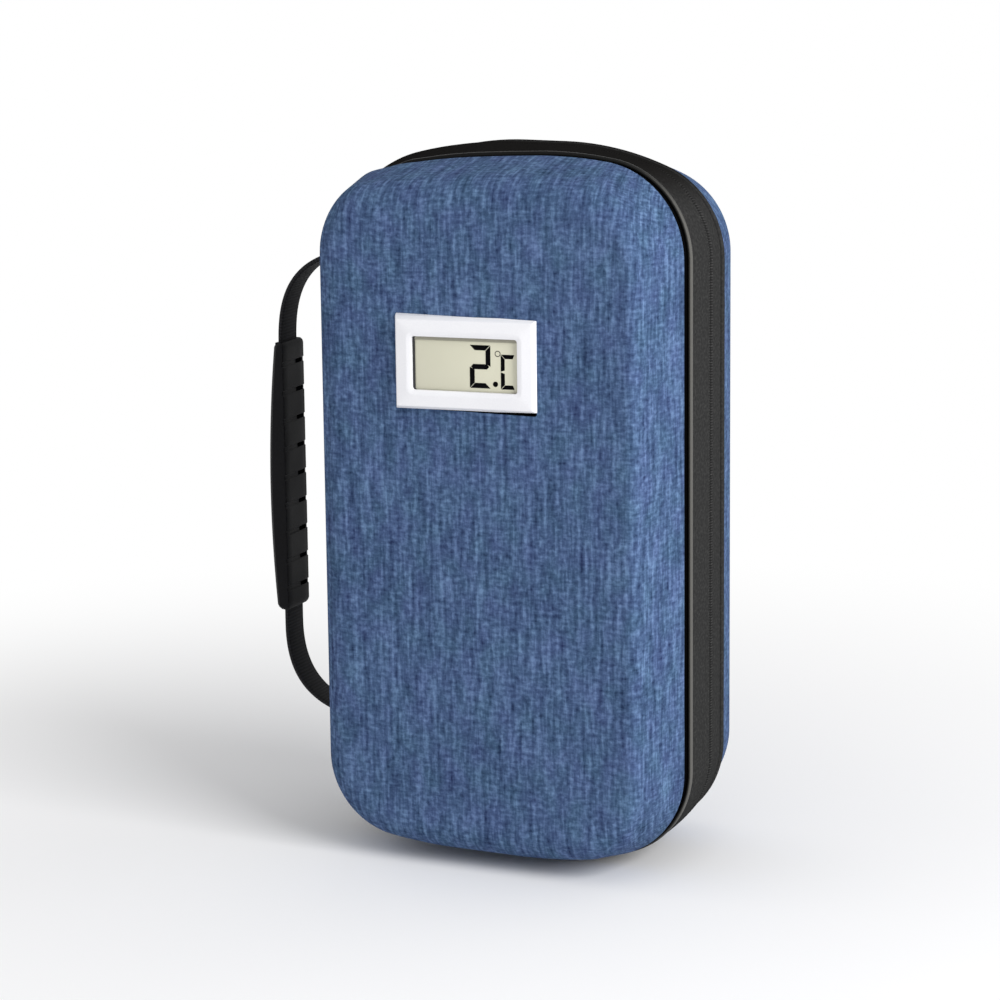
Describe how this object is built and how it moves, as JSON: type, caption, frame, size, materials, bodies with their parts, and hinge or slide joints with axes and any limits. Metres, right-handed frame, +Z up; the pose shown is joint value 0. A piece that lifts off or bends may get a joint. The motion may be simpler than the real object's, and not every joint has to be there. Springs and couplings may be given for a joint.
{
  "type": "insulin cooling case",
  "caption": "Zip-round insulated case for insulin pens: moulded fabric halves that open like a book, a carrying handle on the spine and a panel thermometer in the lid.",
  "frame": {"origin": "middle of the object's bounding box, at its base, standing upright", "axes": "+Z up along the long side, -Y out of the front with the display, -X towards the handle"},
  "size_m": [0.1514, 0.0838, 0.2266],
  "materials": {
    "blue_weave": "woven heather melange",
    "black_foam": "moulded closed-cell foam",
    "silver_foil": "aluminised quilted film",
    "black_tape": "smooth coated tape",
    "grey_bead": "satin extruded bead",
    "black_coil": "moulded nylon coil",
    "black_webbing": "narrow woven webbing",
    "black_grip": "soft moulded grip",
    "black_metal": "black painted zinc",
    "white_plastic": "satin white moulding",
    "lcd_glass": "clear glass over a pale green-grey reflector",
    "pale_film": "matte reflector film",
    "grey_rubber": "layered conductive rubber",
    "board_green": "solder mask",
    "bright_steel": "nickel plated",
    "dark_bead": "black resin and rubber",
    "gel_blue": "clear film over blue gel",
    "grey_cloth": "plain woven lining",
    "black_elastic": "ribbed elastic"
  },
  "bodies": {
    "rear": {"rear_fabric_cover": "blue_weave", "rear_foam_shell": "black_foam", "rear_insulated_liner": "silver_foil", "rear_welt": "black_tape", "rear_zip_tape": "black_tape", "rear_zip_coil": "black_coil", "zip_stop_upper": "black_metal", "zip_stop_lower": "black_metal", "gel_pack_rear": "gel_blue", "divider_panel": "grey_cloth", "pen_elastic_upper": "black_elastic", "pen_elastic_lower": "black_elastic"},
    "spine": {"spine_strip": "black_webbing", "strap_patch_upper": "black_webbing", "strap_patch_lower": "black_webbing"},
    "lid": {"front_fabric_cover": "blue_weave", "front_foam_shell": "black_foam", "front_insulated_liner": "silver_foil", "front_welt": "grey_bead", "front_zip_tape": "black_tape", "front_zip_coil": "black_coil", "gel_pack_front": "gel_blue", "pocket_panel": "grey_cloth", "display_housing": "white_plastic", "lcd_glass": "lcd_glass", "lcd_reflector": "pale_film", "zebra_connector": "grey_rubber", "board_screw_left": "bright_steel", "board_screw_right": "bright_steel", "circuit_board": "board_green", "temperature_sensor": "dark_bead", "button_cell_left": "bright_steel", "button_cell_right": "bright_steel", "battery_holder": "white_plastic", "battery_contact_board": "bright_steel", "battery_contact_spring": "bright_steel", "display_rear_cover": "white_plastic", "probe_inlet_grommet": "dark_bead"},
    "battery_door": {"battery_door": "white_plastic"},
    "handle": {"handle_strap": "black_webbing", "handle_grip": "black_grip"},
    "slider": {"zip_slider": "black_metal"},
    "pull": {"zip_pull": "black_metal"}
  },
  "joints": [
    {"name": "spine_hinge", "type": "hinge", "parent": "rear", "child": "spine", "pos_m": [-0.0467, 0.01555, 0.1133], "axis": [0, 0, -1], "range_deg": [0, 90]},
    {"name": "lid_hinge", "type": "hinge", "parent": "spine", "child": "lid", "pos_m": [-0.0467, -0.00865, 0.1133], "axis": [0, 0, -1], "range_deg": [0, 90]},
    {"name": "handle_swing", "type": "hinge", "parent": "spine", "child": "handle", "pos_m": [-0.0545, 0.0022, 0.112], "axis": [0, 0, 1], "range_deg": [-20, 20]},
    {"name": "zip_travel", "type": "hinge", "parent": "rear", "child": "slider", "pos_m": [-0.0141, 0.0047, 0.03291], "axis": [0, -1, 0], "range_deg": [0, 22]},
    {"name": "pull_swing", "type": "hinge", "parent": "slider", "child": "pull", "pos_m": [-0.04745, 0.0047, 0.02582], "axis": [0, 1, 0], "range_deg": [0, 110]},
    {"name": "battery_slide", "type": "slide", "parent": "lid", "child": "battery_door", "axis": [-1, 0, 0], "range_m": [0, 0.01]}
  ],
  "couplings": [
    {"joint": "lid_hinge", "follows": "spine_hinge", "ratio": 1}
  ]
}
